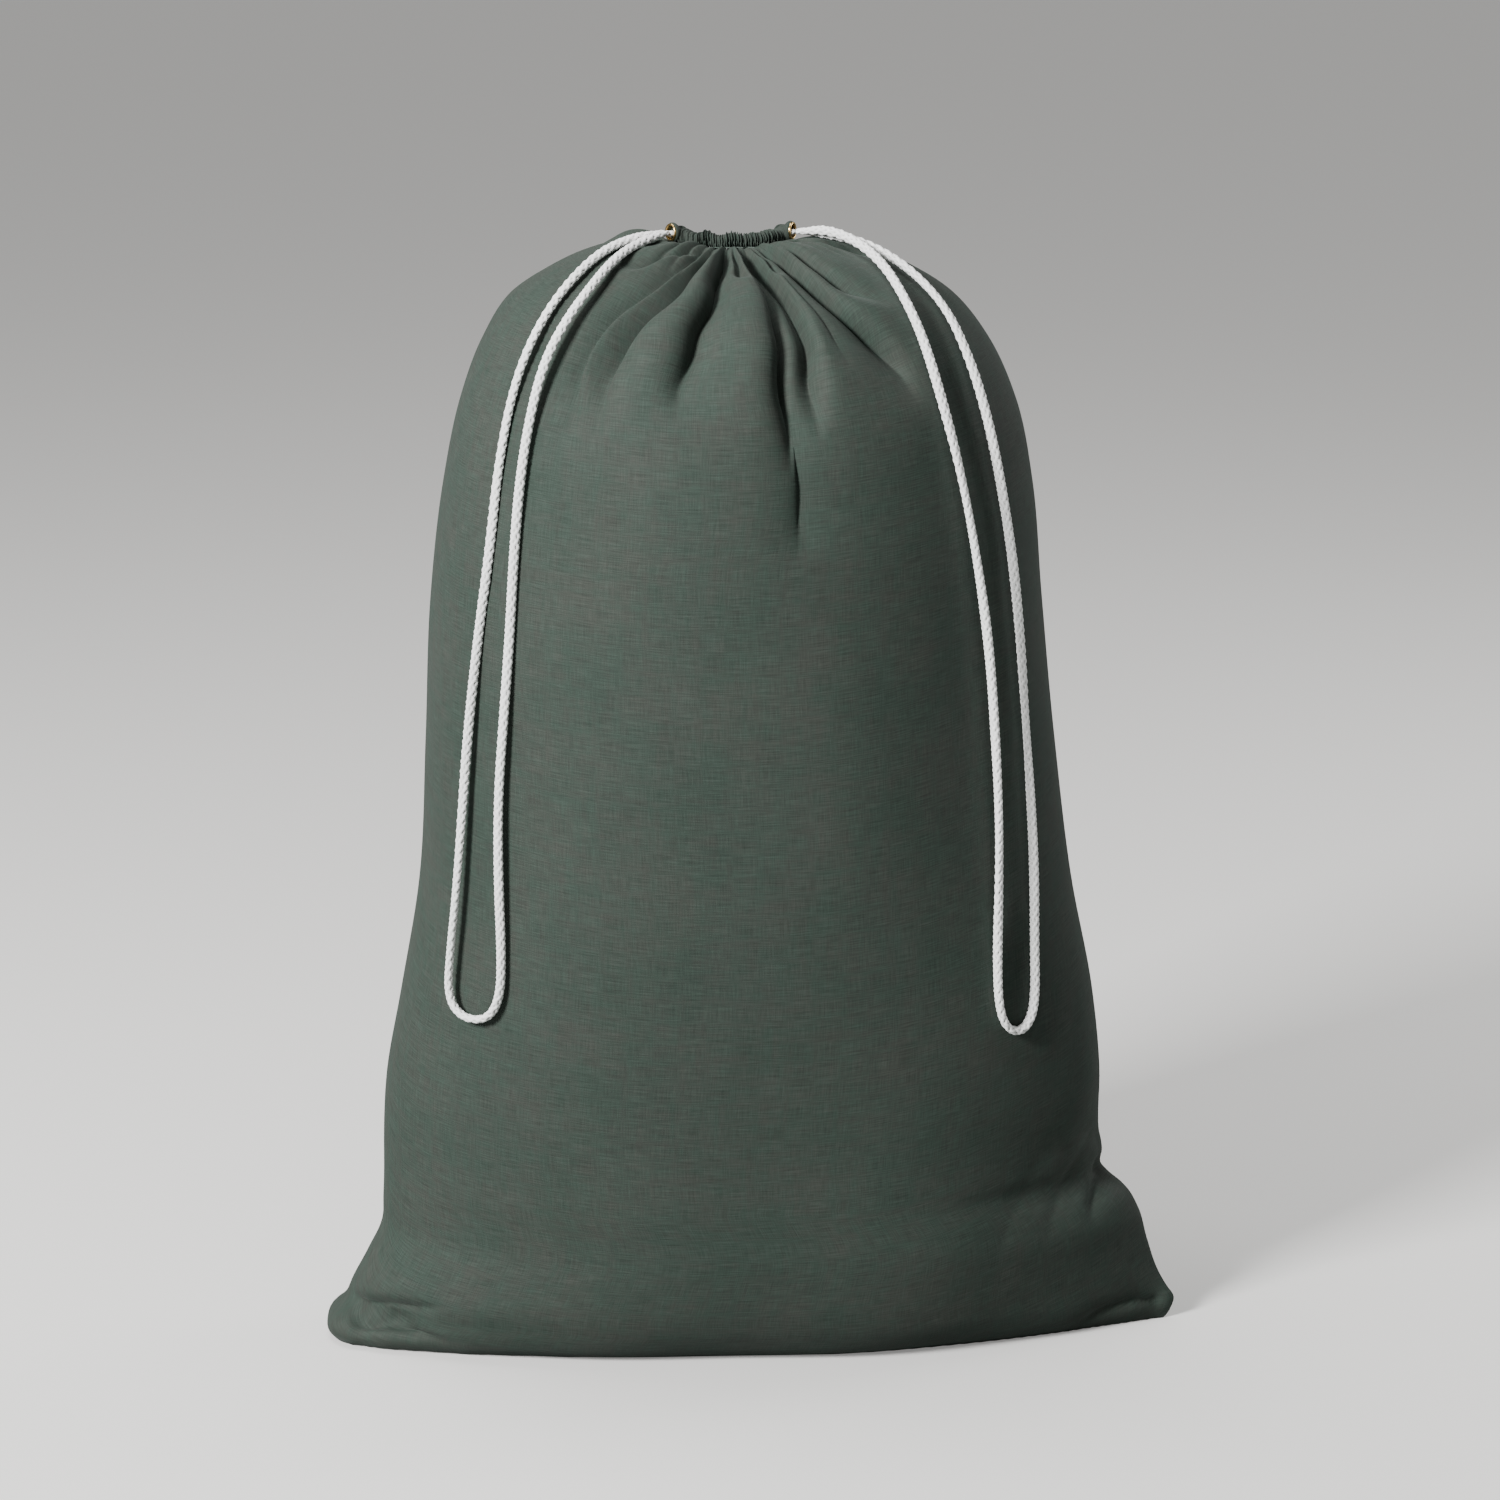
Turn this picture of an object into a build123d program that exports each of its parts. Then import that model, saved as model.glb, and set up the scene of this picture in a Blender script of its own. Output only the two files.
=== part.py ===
"""Drawstring laundry bag, filled out and standing: a sewn sack with a gathered casing, two brass
eyelets and a white braided drawcord that leaves each eyelet as a long loop. Millimetres, +Z up,
origin on the floor under the middle of the bag, the front panel facing -Y."""

from build123d import *

import os
from math import cos, pi, radians, sin, tan

# --- driving dimensions: the sack -----------------------------------------------------------
CLOTH = 2.0  # modelled thickness of one panel
SEAM_ALLOWANCE = 10.0  # how far the turned-in seam edges stand inside the sack
SEAM_THICK = 1.2
SEAM_GAP = 3.5  # from the skin to a side seam's outer edge
SEAM_FREE = 0.3  # from the skin to the bottom seam
SEAM_SECTIONS = 15  # the side seams end below the gathers
SEAM_FOOT_SHARE = 0.2  # how far from section 1 towards section 2 a side seam's foot stands in
CREASE_WEDGE = 1.6  # how much further the skin's inside is moved in at a pointed crease

# Height, half width, half depth, how pointed the side creases are (1 is round), sideways shift.
SECTIONS = [
    (0, 292, 62, 1.6, 0),
    (8, 300, 82, 1.6, 0),
    (28, 291, 98, 1.5, 2),
    (60, 277, 108, 1.4, 3),
    (105, 261, 115, 1.25, 0),
    (165, 253, 122, 1.1, -5),
    (240, 243, 136, 1.0, -4),
    (330, 226, 152, 1.0, -4),
    (430, 217, 162, 1.0, -8),
    (530, 209, 166, 1.0, -10),
    (610, 200, 163, 1.0, -10),
    (665, 188, 154, 1.0, -10),
    (705, 172, 138, 1.0, -11),
    (735, 150, 116, 1.0, -14),
    (753, 122, 91, 1.0, -15),
    (762, 97, 69, 1.0, -15),
    (766, 72, 48, 1.0, -15),
    (768, 45.6, 29.6, 1.0, -15),
]
RING_POINTS = 24

# --- the gathered casing ----------------------------------------------------------------------
MOUTH_X = -15.0  # the full sack leans a little to one side, and the mouth goes with it
CASING_LOW, CASING_HIGH = 763.0, 776.5
CASING_OUT = (42.0, 26.0)  # half axes of the casing's outside
CASING_IN = (27.0, 11.5)  # half axes of the mouth that stays open inside it
PLEATS = 34
PLEAT_OUT, PLEAT_IN = 1.4, 1.0  # how deep the pleats are on each side
HEM_Z = 768.5  # height of the row of stitches that closes the casing
THREAD = 0.5
PAST = 1.0  # how far a cut runs past what it cuts

# --- the eyelets and the round of cloth that each is set in -------------------------------------
EYELET_BORE = 8.8
BARREL = 9.6
FLANGE = 12.0
FLANGE_HIGH = 1.3
FLANGE_EDGE = 0.35
TAB = 14.2
TAB_CLOTH = 1.4
TAB_DEEP = 9.0
WASHER = 12.6
WASHER_THICK = 0.8
ROLL = 11.0
ROLL_HIGH = 0.6
POCKET_SLACK = 1.0  # room behind the roll
FREE = 0.15  # clearance round the barrel

# --- the drawcord -----------------------------------------------------------------------------
CORD = 6.0  # braided cord, lying free
CORD_TIGHT = 3.9  # the same cord squeezed in the casing and the eyelets
TUNNEL = 5.0  # the way through the casing that each run of cord lies in
STRAND = 2.05  # half the distance between the two strands in an eyelet
PIVOT = 3.5  # from an eyelet's face to the line that its loop swings about
LOOP_START = 4.2  # from that line to the loop's first point
SOCKET = 0.3  # clearance round the ball where a loop straightens
ARC = 0.45  # share of the shorter run that a corner's arc takes up


class Side:
    """One eyelet: the middle of its cloth face, and the level direction that it looks in."""

    def __init__(self, name, x, y, z, degrees):
        self.name = name
        self.face = Vector(x, y, z)
        self.out = Vector(cos(radians(degrees)), sin(radians(degrees)), 0)
        front = Vector(-self.out.Y, self.out.X, 0)
        self.front = front if front.Y < 0 else front * -1
        self.pivot = self.face + self.out * PIVOT

    def strand(self, along, front):
        """A point on one of the two strands, so far outside the pivot."""
        return self.pivot + self.out * along + self.front * (STRAND if front else -STRAND)

    def plane(self, along=0.0):
        return Plane(origin=self.face + self.out * along, z_dir=self.out)


LEFT = Side("left", -54.6, -11.0, 777.5, 215)
RIGHT = Side("right", 26.6, -8.0, 778.0, -25)

# The loops' routes: down the strand that lies further out, round, and up the other one.
LEFT_DOWN = [
    (-84, -24, 773.5),
    (-105, -44, 765.5),
    (-128, -70, 746.5),
    (-147, -85, 719),
    (-162, -91.5, 682.5),
    (-171.5, -98, 632),
]
LEFT_ROUND = [
    (-177.5, -102, 578),
    (-186, -100, 520),
    (-194, -94, 452),
    (-199.5, -87, 386),
    (-204, -82, 336),
    (-208, -79.5, 300),
    (-210.5, -77.5, 267),
    (-201.5, -85, 253.5),
    (-184, -98, 254.5),
    (-174.5, -104.5, 271),
    (-173, -106, 302),
    (-174.5, -108.5, 356),
    (-174, -111.5, 412),
    (-169.5, -117, 468),
    (-165, -119.5, 521),
    (-161.5, -120, 578),
]
LEFT_UP = [
    (-156.5, -117, 632),
    (-148.5, -109.5, 675),
    (-139, -103, 706),
    (-125, -96.5, 730.5),
    (-110, -84, 749),
    (-95, -61, 763.5),
    (-79, -35.5, 771.5),
]
RIGHT_DOWN = [
    (61, -20, 775),
    (87, -34.5, 766),
    (109, -49, 751.5),
    (127.5, -67.5, 730.5),
    (140, -82.5, 702),
    (149.5, -91, 672),
    (158.5, -93, 634),
]
RIGHT_ROUND = [
    (169, -90, 576),
    (175.5, -88, 521),
    (179.5, -88, 468),
    (184, -88.5, 412),
    (187.5, -89.5, 356),
    (188.5, -89.5, 298),
    (189.5, -88.5, 267),
    (187, -91, 250),
    (179, -96.5, 241.5),
    (168.5, -103.5, 246.5),
    (162.5, -108.5, 264),
    (161, -110.5, 300),
    (161.5, -112, 345),
    (161, -112.5, 396),
    (157.5, -112.5, 455),
    (152.5, -114, 515),
    (143, -118.5, 576),
]
RIGHT_UP = [
    (131.5, -119.5, 634),
    (117, -110.5, 688),
    (107, -95.5, 720),
    (96, -79, 743.5),
    (85, -54, 760.5),
    (70, -34, 773),
    (50, -21, 780),
]


# --- the sack ---------------------------------------------------------------------------------
def ring(z, half_width, half_depth, crease, shift):
    """One level outline of the sack: an ellipse whose two side ends are drawn out to a crease."""
    points = []
    for i in range(RING_POINTS):
        t = 2 * pi * i / RING_POINTS
        depth = half_depth * abs(sin(t)) ** crease
        points.append(Vector(shift + half_width * cos(t), depth if sin(t) >= 0 else -depth, z))
    return Wire([Edge.make_spline(points, periodic=True)])


def inset_section(i, inset):
    """Section i moved square to the skin by inset, further at the creases, where the skin is steep."""
    z, width, depth, crease, shift = SECTIONS[i]
    last = len(SECTIONS) - 1
    below, above = SECTIONS[max(i - 1, 0)], SECTIONS[min(i + 1, last)]
    rise = above[0] - below[0]
    run = (above[1] + above[2] - below[1] - below[2]) / 2
    length = (rise * rise + run * run) ** 0.5
    out, up = rise / length, -run / length
    if i in (0, last):
        out, up = 1.0, -1.0
    wedge = 1 + CREASE_WEDGE * (crease - 1)
    return z - inset * up, width - inset * out * wedge, depth - inset * out, crease, shift


def sack(inset):
    """The filled sack as one solid, its skin moved in by inset. Inset, it stands taller than the whole
    sack, so cutting it out leaves the mouth open."""
    return Solid.make_loft([ring(*inset_section(i, inset)) for i in range(len(SECTIONS))])


def half(shape, front):
    """The part of a shape in front of, or behind, the plane of the side seams."""
    return split(shape, bisect_by=Plane.XZ, keep=Keep.TOP if front else Keep.BOTTOM)


def panels():
    skin = sack(0) - sack(CLOTH)
    return {"front_panel": half(skin, True), "back_panel": half(skin, False)}


def side_seam(sign):
    """The turned-in edge of one side seam, a thin double layer that stands inside the sack."""
    outer = []
    for i in range(SEAM_SECTIONS):
        z, width, _, _, shift = inset_section(i, CLOTH)
        outer.append((shift + sign * (width - SEAM_GAP), z))
    foot_x = outer[1][0] + (outer[2][0] - outer[1][0]) * SEAM_FOOT_SHARE
    foot_z = CLOTH + SEAM_ALLOWANCE + 2 * SEAM_GAP
    outer = [(foot_x, foot_z)] + outer[2:]
    inner = [(x - sign * SEAM_ALLOWANCE, z) for x, z in outer]
    outline = Spline(*outer) + Line(outer[-1], inner[-1]) + Spline(*inner[::-1]) + Line(inner[0], outer[0])
    return extrude(Plane.XZ * make_face(outline.edges()), SEAM_THICK / 2, both=True)


def seams():
    half_long = inset_section(0, CLOTH)[1] - SEAM_ALLOWANCE
    low = CLOTH + SEAM_FREE
    bottom = Pos(0, 0, low + SEAM_ALLOWANCE / 2) * Box(2 * half_long, SEAM_THICK, SEAM_ALLOWANCE)
    return {"bottom_seam": bottom, "left_side_seam": side_seam(-1), "right_side_seam": side_seam(1)}


# --- the casing -------------------------------------------------------------------------------
def pleated(half_width, half_depth, pleat):
    """A closed zigzag outline round the mouth, a fold to each pleat."""
    points = []
    for i in range(2 * PLEATS):
        t = pi * i / PLEATS
        wave = pleat if i % 2 else -pleat
        points.append((MOUTH_X + (half_width + wave) * cos(t), (half_depth + wave) * sin(t)))
    return make_face(Polyline(*points, close=True).edges())


def upright(face, low, high):
    return Pos(0, 0, low) * extrude(face, high - low, dir=(0, 0, 1))


def disc(side, diameter, start, end):
    """A round piece on an eyelet's axis, between two distances from the cloth's face."""
    return extrude(side.plane(start) * Circle(diameter / 2), end - start, dir=side.out)


def casing(tunnels):
    whole = upright(pleated(*CASING_OUT, PLEAT_OUT), CASING_LOW, CASING_HIGH)
    pocket = -TAB_CLOTH - WASHER_THICK - ROLL_HIGH - POCKET_SLACK
    mouth = upright(pleated(*CASING_IN, PLEAT_IN), CASING_LOW - PAST, CASING_HIGH + PAST)
    for side in (LEFT, RIGHT):
        whole += disc(side, TAB, -TAB_DEEP, 0)
    whole -= mouth
    for side in (LEFT, RIGHT):
        whole -= disc(side, BARREL + 2 * FREE, -TAB_CLOTH, PAST)
        whole -= disc(side, WASHER + 2 * FREE, pocket, -TAB_CLOTH)
    for tunnel in tunnels:
        whole -= tunnel
    return {"front_casing": half(whole, True), "back_casing": half(whole, False)}


def hem_stitching():
    outside = pleated(CASING_OUT[0] + THREAD, CASING_OUT[1] + THREAD, PLEAT_OUT)
    band = upright(outside, HEM_Z, HEM_Z + THREAD)
    band -= upright(pleated(*CASING_OUT, PLEAT_OUT), HEM_Z - PAST, HEM_Z + THREAD + PAST)
    for side in (LEFT, RIGHT):
        band -= disc(side, TAB + PAST, -TAB_DEEP, FLANGE)
    return {"front_hem_stitching": half(band, True), "back_hem_stitching": half(band, False)}


# --- eyelets ----------------------------------------------------------------------------------
def turned(side, outline):
    """A solid of revolution about an eyelet's axis from (radius, distance outwards) points."""
    plane = Plane(origin=side.face, x_dir=side.front, z_dir=side.out.cross(side.front) * -1)
    face = Face(Wire([plane.from_local_coords(e) for e in outline.edges()]))
    return revolve(face, Axis(side.face, side.out), 360)


def eyelet(side):
    """The face half: a domed flange, the barrel through the cloth, and its rolled far end."""
    bore, barrel, rim, roll = EYELET_BORE / 2, BARREL / 2, FLANGE / 2, ROLL / 2
    back = -TAB_CLOTH - WASHER_THICK
    crown = (bore + rim) / 2
    outline = Polyline((bore, FLANGE_EDGE), (bore, back - ROLL_HIGH), (roll, back - ROLL_HIGH), (roll, back))
    outline += Polyline((roll, back), (barrel, back), (barrel, 0), (rim, 0), (rim, FLANGE_EDGE))
    outline += ThreePointArc((rim, FLANGE_EDGE), (crown, FLANGE_HIGH), (bore, FLANGE_EDGE))
    return turned(side, outline)


def washer(side):
    back = -TAB_CLOTH - WASHER_THICK
    plate = disc(side, WASHER, back, -TAB_CLOTH)
    return plate - disc(side, BARREL + 2 * FREE, back - PAST, 0)


# --- the drawcord -----------------------------------------------------------------------------
def radii(points):
    """Each corner's arc: as large as its two runs allow."""
    found = []
    for before, here, after in zip(points, points[1:], points[2:]):
        first, second = here - before, after - here
        turn = radians(first.get_angle(second))
        found.append(ARC * min(first.length, second.length) / tan(turn / 2))
    return found


def tube(points, arcs, diameter):
    path = FilletPolyline(*points, radius=arcs)
    section = Plane(origin=points[0], z_dir=points[1] - points[0]) * Circle(diameter / 2)
    return sweep(section, path=path), path.length


def report(name, solid, length, diameter, arcs):
    share = solid.volume / (pi * diameter * diameter / 4 * length)
    print(f"{name}: length {length:.0f}, volume / (section x length) {share:.3f}")
    print("  radii " + " ".join(f"{r:.0f}" for r in arcs))


def cord_run(name, start, corners, end):
    points = [start] + [Vector(*c) for c in corners] + [end]
    arcs = radii(points)
    solid, length = tube(points, arcs, CORD_TIGHT)
    report(name, solid, length, CORD_TIGHT, arcs)
    return solid, tube(points, arcs, TUNNEL)[0]


def cord_runs():
    """The two stretches inside the casing, from one eyelet's pivot to the other's."""
    front, front_tunnel = cord_run(
        "front_cord_run",
        LEFT.strand(0, True),
        [(-46, -7.8, 776), (-33, -15.5, 771), (-15, -19, 770.5), (3, -15.8, 771), (18, -6.3, 776.5)],
        RIGHT.strand(0, True),
    )
    back, back_tunnel = cord_run(
        "back_cord_run",
        LEFT.strand(0, False),
        [(-46, -3, 776), (-35, 13.2, 771), (-15, 18.8, 770.5), (5, 13.8, 771), (18, -1.2, 776.5)],
        RIGHT.strand(0, False),
    )
    return {"front_cord_run": front, "back_cord_run": back}, [front_tunnel, back_tunnel]


def loop(side, down, around, up):
    """One loop: the upper piece, two strands ending in balls, and the lower, a U with sockets."""
    start, end = side.strand(LOOP_START, False), side.strand(LOOP_START, True)
    route = [start] + [Vector(*p) for p in down + around + up] + [end]
    arcs = radii(route)
    first, second = len(down) + 1, len(down) + len(around) + 1
    bends = [(route[first - 1] + route[first]) / 2, (route[second - 1] + route[second]) / 2]
    strands = [
        (route[:first] + [bends[0]], arcs[: first - 1]),
        ([bends[1]] + route[second:], arcs[second - 1 :]),
    ]
    upper = None
    for (points, bent), bend in zip(strands, bends):
        strand, length = tube(points, bent, CORD)
        report(f"{side.name} upper strand", strand, length, CORD, bent)
        strand += Pos(*bend) * Sphere(CORD / 2)
        upper = strand if upper is None else upper + strand
    bent = arcs[first - 1 : second - 1]
    lower, length = tube([bends[0]] + route[first:second] + [bends[1]], bent, CORD)
    report(f"{side.name} lower", lower, length, CORD, bent)
    for bend in bends:
        lower -= Pos(*bend) * Sphere(CORD / 2 + SOCKET)
    print(f"{side.name} bends {[tuple(round(v, 2) for v in b) for b in bends]} pivot {side.pivot}")
    return {f"{side.name}_loop_upper": upper, f"{side.name}_loop_lower": lower}


def save(name, shape):
    solids = shape.solids()
    whole = solids[0] if len(solids) == 1 else Compound(children=list(solids))
    export_step(whole, f"parts/{name}.step")


def main():
    os.makedirs("parts", exist_ok=True)
    runs, tunnels = cord_runs()
    nodes = {}
    nodes.update(panels())
    nodes.update(seams())
    nodes.update(casing(tunnels))
    nodes.update(hem_stitching())
    for side in (LEFT, RIGHT):
        nodes[f"{side.name}_eyelet"] = eyelet(side)
        nodes[f"{side.name}_washer"] = washer(side)
    nodes.update(runs)
    nodes.update(loop(LEFT, LEFT_DOWN, LEFT_ROUND, LEFT_UP))
    nodes.update(loop(RIGHT, RIGHT_DOWN, RIGHT_ROUND, RIGHT_UP))
    for name, shape in nodes.items():
        save(name, shape)


main()
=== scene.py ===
"""Looks of the drawstring laundry bag: a filled cloth sack with a gathered casing, brass eyelets
and a white braided drawcord. Everything is in metres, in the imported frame: +Z up, front towards -Y."""

import math

import bpy
import numpy as np
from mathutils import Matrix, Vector
from mathutils.kdtree import KDTree


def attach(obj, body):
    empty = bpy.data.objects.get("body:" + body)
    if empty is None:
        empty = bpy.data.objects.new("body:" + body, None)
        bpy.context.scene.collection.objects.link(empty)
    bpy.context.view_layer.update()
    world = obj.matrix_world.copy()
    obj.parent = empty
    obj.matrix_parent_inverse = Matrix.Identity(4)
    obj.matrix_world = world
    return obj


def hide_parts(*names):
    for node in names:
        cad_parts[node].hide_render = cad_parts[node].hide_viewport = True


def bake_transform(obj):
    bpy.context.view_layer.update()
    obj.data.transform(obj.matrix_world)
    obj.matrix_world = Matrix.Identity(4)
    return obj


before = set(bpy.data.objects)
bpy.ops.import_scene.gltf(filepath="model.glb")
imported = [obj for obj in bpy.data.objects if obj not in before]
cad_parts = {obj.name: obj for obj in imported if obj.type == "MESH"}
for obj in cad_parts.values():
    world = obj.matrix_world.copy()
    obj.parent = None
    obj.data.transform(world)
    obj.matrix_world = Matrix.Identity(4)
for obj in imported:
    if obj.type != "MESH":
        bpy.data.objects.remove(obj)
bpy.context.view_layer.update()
RNG = np.random.default_rng(7)

# --- driving sizes ----------------------------------------------------------------------------
FLAT_WIDTH, FLAT_HEIGHT = 0.610, 0.914  # the sack laid flat
CASING_CUT = 0.025  # height of the folded casing
CORD = 0.006  # braided cord, lying free
CORD_TIGHT = 0.0039  # where it is squeezed in an eyelet
STRAND = 0.00205  # half the distance between the two strands in an eyelet
PIVOT_OUT = 0.0035  # from an eyelet's face to the line its loop swings about
MOUTH_X = -0.015

EYELETS = {
    "left": (Vector((-0.0546, -0.011, 0.7775)), math.radians(215)),
    "right": (Vector((0.0266, -0.008, 0.778)), math.radians(-25)),
}


# --- camera -----------------------------------------------------------------------------------
def make_camera():
    data = bpy.data.cameras.new("camera")
    camera = bpy.data.objects.new("camera", data)
    bpy.context.collection.objects.link(camera)
    camera.location = (-0.131, -2.969, 1.077)
    target = Vector((-0.0012, 0.0, 0.4187))
    camera.rotation_euler = (target - camera.location).to_track_quat("-Z", "Y").to_euler()
    data.lens = 105.6
    data.sensor_width = 36.0
    bpy.context.scene.camera = camera


# --- small helpers ----------------------------------------------------------------------------
def mesh_object(name, points, faces, smooth=True):
    mesh = bpy.data.meshes.new(name)
    mesh.from_pydata([tuple(p) for p in points], [], [tuple(f) for f in faces])
    mesh.validate()
    mesh.update()
    mesh.polygons.foreach_set("use_smooth", [smooth] * len(mesh.polygons))
    piece = bpy.data.objects.new(name, mesh)
    bpy.context.collection.objects.link(piece)
    return piece


def grid_faces(rows, cols, wrap=False, flip=False):
    """Quads of a rows x cols grid of points, joined round its columns where wrap is set."""
    r = np.arange(rows - 1)[:, None]
    c = np.arange(cols if wrap else cols - 1)[None, :]
    nxt = (c + 1) % cols
    quad = np.stack(
        [r * cols + c, r * cols + nxt, (r + 1) * cols + nxt, (r + 1) * cols + c], axis=-1
    ).reshape(-1, 4)
    return quad[:, ::-1] if flip else quad


def put_attribute(piece, name, values):
    values = np.asarray(values, np.float32).reshape(-1, 3)
    layer = piece.data.attributes.new(name, "FLOAT_VECTOR", "POINT")
    layer.data.foreach_set("vector", values.ravel())


def smoothstep(low, high, x):
    t = np.clip((x - low) / (high - low), 0, 1)
    return t * t * (3 - 2 * t)


def wavy(x, count, low, high, rng):
    """A smooth random curve with values about -1 to 1: sines of mixed frequency and phase."""
    total = np.zeros_like(np.asarray(x, float))
    for _ in range(count):
        total += np.sin(rng.uniform(low, high) * x + rng.uniform(0, 2 * math.pi))
    return total / math.sqrt(count)


# --- cords ------------------------------------------------------------------------------------
LEFT_ROUTE = [
    (-0.0840, -0.0240, 0.7745),
    (-0.1050, -0.0440, 0.7665),
    (-0.1280, -0.0700, 0.7465),
    (-0.1470, -0.0850, 0.7190),
    (-0.1615, -0.0910, 0.6825),
    (-0.1715, -0.0980, 0.6320),
    (-0.1775, -0.1020, 0.5780),
    (-0.1860, -0.1000, 0.5200),
    (-0.1940, -0.0940, 0.4520),
    (-0.1995, -0.0870, 0.3860),
    (-0.2040, -0.0820, 0.3360),
    (-0.2080, -0.0795, 0.3000),
    (-0.2105, -0.0775, 0.2670),
    (-0.2015, -0.0850, 0.2535),
    (-0.1840, -0.0980, 0.2545),
    (-0.1745, -0.1045, 0.2710),
    (-0.1730, -0.1060, 0.3020),
    (-0.1745, -0.1085, 0.3560),
    (-0.1740, -0.1115, 0.4120),
    (-0.1695, -0.1170, 0.4680),
    (-0.1650, -0.1195, 0.5210),
    (-0.1615, -0.1200, 0.5780),
    (-0.1565, -0.1170, 0.6320),
    (-0.1485, -0.1095, 0.6750),
    (-0.1390, -0.1030, 0.7060),
    (-0.1250, -0.0965, 0.7305),
    (-0.1100, -0.0840, 0.7490),
    (-0.0950, -0.0610, 0.7640),
    (-0.0790, -0.0355, 0.7725),
]
RIGHT_ROUTE = [
    (0.0610, -0.0200, 0.7755),
    (0.0870, -0.0345, 0.7665),
    (0.1090, -0.0490, 0.7515),
    (0.1275, -0.0675, 0.7305),
    (0.1400, -0.0825, 0.7020),
    (0.1495, -0.0910, 0.6720),
    (0.1585, -0.0930, 0.6340),
    (0.1690, -0.0900, 0.5760),
    (0.1755, -0.0880, 0.5210),
    (0.1795, -0.0880, 0.4680),
    (0.1840, -0.0885, 0.4120),
    (0.1875, -0.0895, 0.3560),
    (0.1885, -0.0895, 0.2980),
    (0.1895, -0.0885, 0.2670),
    (0.1870, -0.0910, 0.2500),
    (0.1790, -0.0965, 0.2415),
    (0.1685, -0.1035, 0.2465),
    (0.1625, -0.1085, 0.2640),
    (0.1610, -0.1105, 0.3000),
    (0.1615, -0.1120, 0.3450),
    (0.1610, -0.1125, 0.3960),
    (0.1575, -0.1125, 0.4550),
    (0.1525, -0.1140, 0.5150),
    (0.1430, -0.1185, 0.5760),
    (0.1315, -0.1195, 0.6340),
    (0.1170, -0.1105, 0.6880),
    (0.1070, -0.0955, 0.7200),
    (0.0960, -0.0790, 0.7435),
    (0.0850, -0.0540, 0.7605),
    (0.0700, -0.0340, 0.7730),
    (0.0500, -0.0210, 0.7800),
]
FRONT_RUN = [
    (-0.0460, -0.0078, 0.7755),
    (-0.0330, -0.0158, 0.7730),
    (-0.0150, -0.0197, 0.7724),
    (0.0030, -0.0160, 0.7730),
    (0.0180, -0.0063, 0.7757),
]
BACK_RUN = [
    (-0.0460, -0.0030, 0.7725),
    (-0.0350, 0.0030, 0.7655),
    (-0.0150, 0.0060, 0.7622),
    (0.0050, 0.0030, 0.7655),
    (0.0180, -0.0010, 0.7725),
]


def strand_point(side, along, front):
    """A point on one of the two strands in an eyelet, so far outside its face."""
    face, angle = EYELETS[side]
    out = Vector((math.cos(angle), math.sin(angle), 0))
    across = Vector((-out.y, out.x, 0))
    if across.y > 0:
        across.negate()
    return face + out * along + across * (STRAND if front else -STRAND)


def spline_points(points, step=0.0009):
    """Points close together along the NURBS spline that has these control points."""
    curve = bpy.data.curves.new("route", "CURVE")
    curve.dimensions = "3D"
    spline = curve.splines.new("NURBS")
    spline.points.add(len(points) - 1)
    for control, p in zip(spline.points, points):
        control.co = (*p, 1.0)
    spline.order_u = 3
    spline.use_endpoint_u = True
    spline.resolution_u = 24
    carrier = bpy.data.objects.new("route", curve)
    bpy.context.collection.objects.link(carrier)
    bpy.context.view_layer.update()
    mesh = bpy.data.meshes.new_from_object(carrier)
    line = np.array([v.co for v in mesh.vertices])
    bpy.data.objects.remove(carrier)
    bpy.data.curves.remove(curve)
    bpy.data.meshes.remove(mesh)
    keep = np.concatenate([[True], np.linalg.norm(np.diff(line, axis=0), axis=1) > 1e-7])
    line = line[keep]
    along = np.concatenate([[0], np.cumsum(np.linalg.norm(np.diff(line, axis=0), axis=1))])
    even = np.linspace(0, along[-1], int(along[-1] / step) + 1)
    return np.stack([np.interp(even, along, line[:, i]) for i in range(3)], axis=1), along[-1]


def frames_along(line):
    """A tangent and two steady cross directions at each point of a line."""
    tangent = np.gradient(line, axis=0)
    tangent /= np.linalg.norm(tangent, axis=1, keepdims=True)
    side = np.cross(tangent[0], (0, 0, 1.0))
    if np.linalg.norm(side) < 0.1:
        side = np.cross(tangent[0], (0, 1.0, 0))
    sides = []
    for t in tangent:
        side = side - t * side.dot(t)
        side /= np.linalg.norm(side)
        sides.append(side)
    sides = np.array(sides)
    return tangent, sides, np.cross(tangent, sides)


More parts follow.
